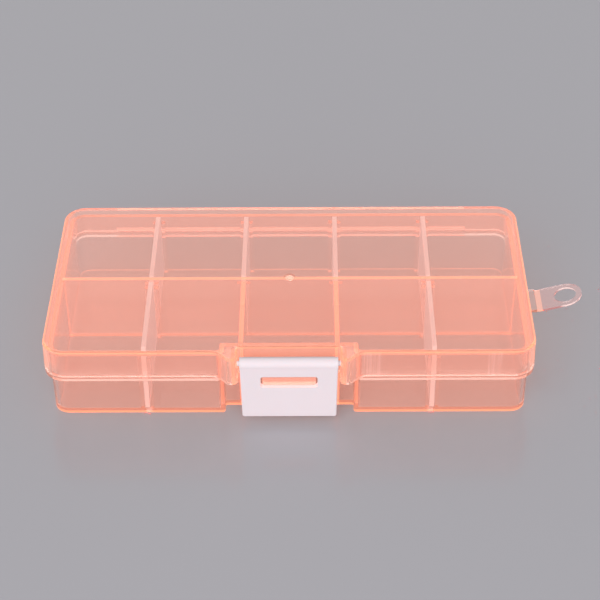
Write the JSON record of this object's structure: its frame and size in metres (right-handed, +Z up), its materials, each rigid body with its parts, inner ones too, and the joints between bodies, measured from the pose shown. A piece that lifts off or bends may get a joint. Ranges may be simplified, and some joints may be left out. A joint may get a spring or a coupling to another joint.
{
  "type": "hinged compartment storage box",
  "caption": "Small translucent orange box with a hinged lid, snap latch, hang tab and upright dividers that part it into compartments for beads and small parts.",
  "frame": {"origin": "middle of the tray's flat underside, on the surface that the box stands on", "axes": "+X along the box towards the hang tab, +Y from the latch to the hinge, +Z up"},
  "size_m": [0.1435, 0.0691, 0.0224],
  "materials": {
    "tinted_plastic": "translucent orange, smooth moulded",
    "natural_plastic": "nearly clear, slightly milky",
    "white_plastic": "opaque white, satin"
  },
  "bodies": {
    "tray": {"base_tray": "tinted_plastic", "lid_hinge_web": "tinted_plastic", "tab_hinge_web": "tinted_plastic", "divider_back_far_left": "natural_plastic", "divider_back_left": "natural_plastic", "divider_back_right": "natural_plastic", "divider_back_far_right": "natural_plastic", "divider_front_left": "natural_plastic", "divider_front_right": "natural_plastic"},
    "lid": {"lid": "tinted_plastic"},
    "latch": {"latch": "white_plastic"},
    "tab": {"hang_tab": "tinted_plastic"}
  },
  "joints": [
    {"name": "lid_hinge", "type": "hinge", "parent": "tray", "child": "lid", "pos_m": [0, 0.03405, 0.0139], "axis": [-1, 0, 0], "range_deg": [0, 180], "deforming": ["lid_hinge_web"]},
    {"name": "latch_pivot", "type": "hinge", "parent": "lid", "child": "latch", "pos_m": [0, -0.0334, 0.0194], "axis": [-1, 0, 0], "range_deg": [0, 110]},
    {"name": "tab_fold", "type": "hinge", "parent": "tray", "child": "tab", "pos_m": [0.0679, 0, 0.0132], "axis": [0, -1, 0], "range_deg": [-90, 70], "deforming": ["tab_hinge_web"]}
  ]
}
